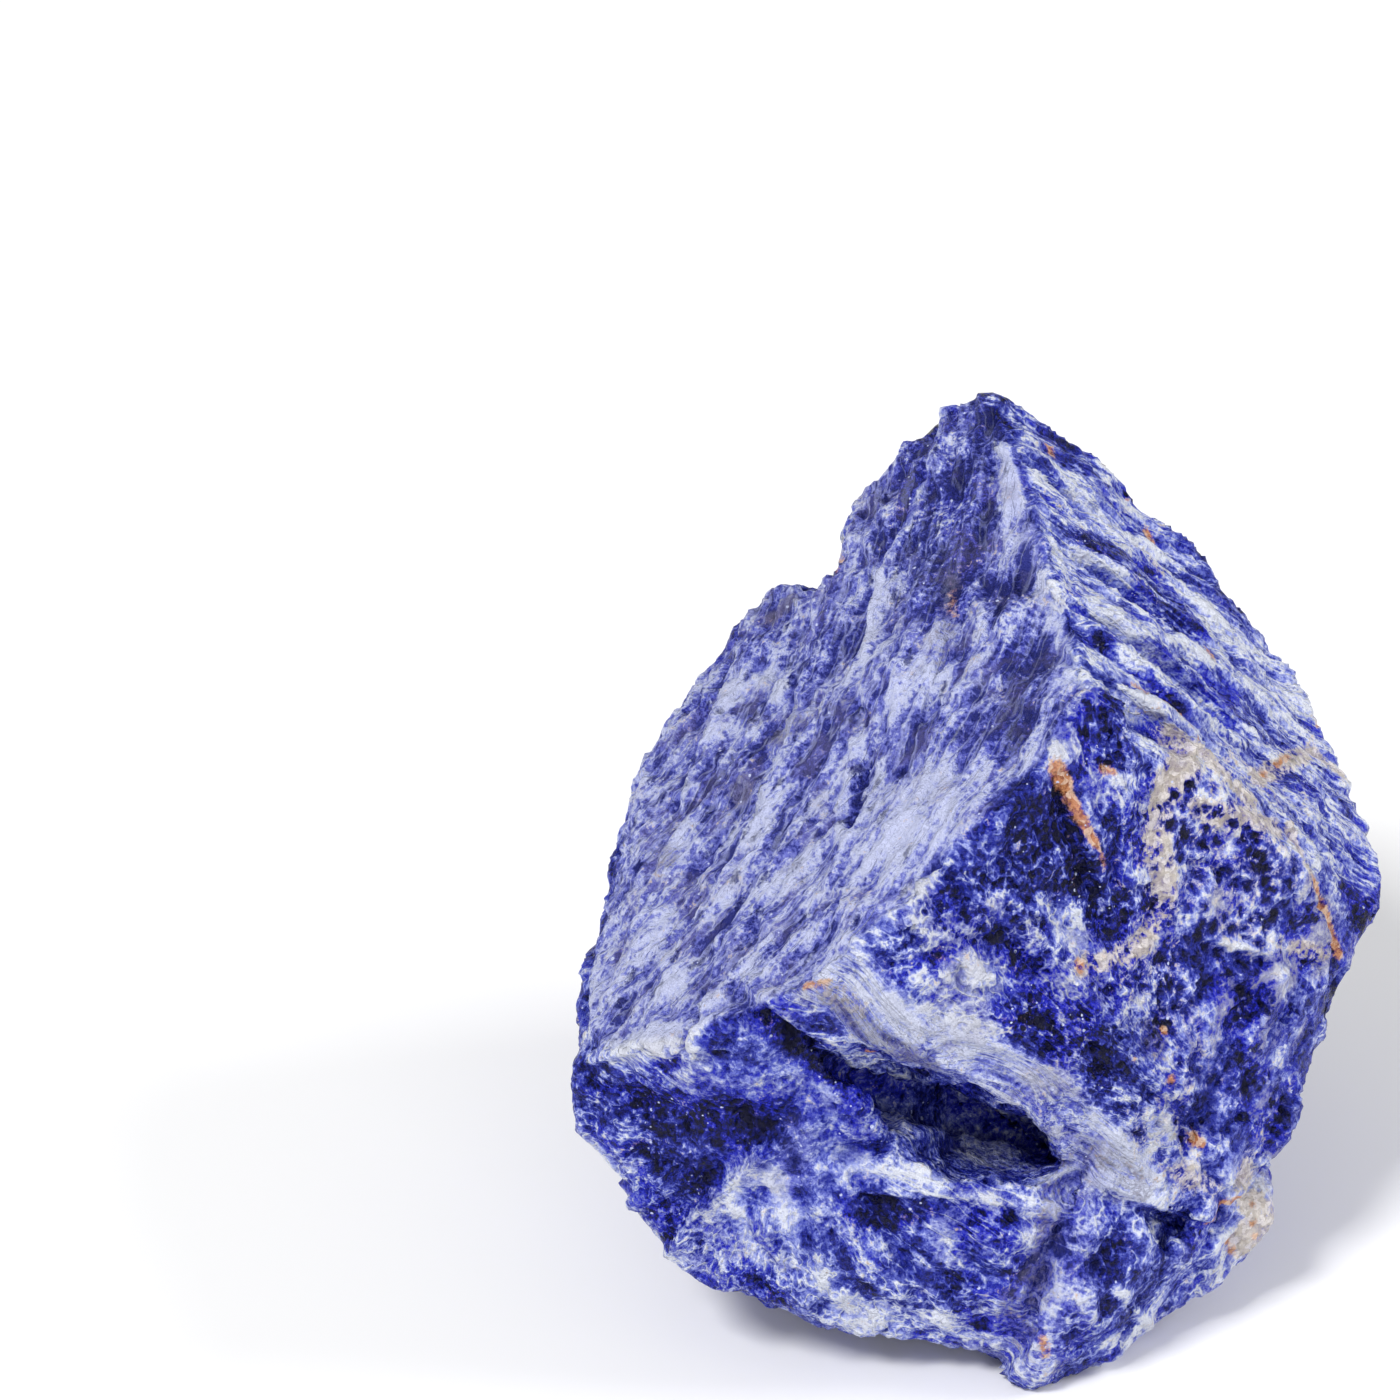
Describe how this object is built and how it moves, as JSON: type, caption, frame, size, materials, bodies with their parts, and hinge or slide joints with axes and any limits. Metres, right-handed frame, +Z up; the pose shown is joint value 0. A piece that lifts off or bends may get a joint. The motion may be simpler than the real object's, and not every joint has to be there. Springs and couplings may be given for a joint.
{
  "type": "rough sodalite",
  "caption": "Rough chunk of blue sodalite with white veins, broken on every side, resting on a small flat; a display or hand specimen.",
  "frame": {"origin": "on the surface that the stone rests on, under the middle of its box", "axes": "+Z up; -Y towards the crumbly front with the overhanging lip; +X to the right of that front"},
  "size_m": [0.0682, 0.0616, 0.0654],
  "materials": {
    "sodalite": "rough broken stone, royal blue with white and cream veins and a hazy lavender film on one face"
  },
  "bodies": {
    "root": {"stone": "sodalite"}
  },
  "joints": []
}
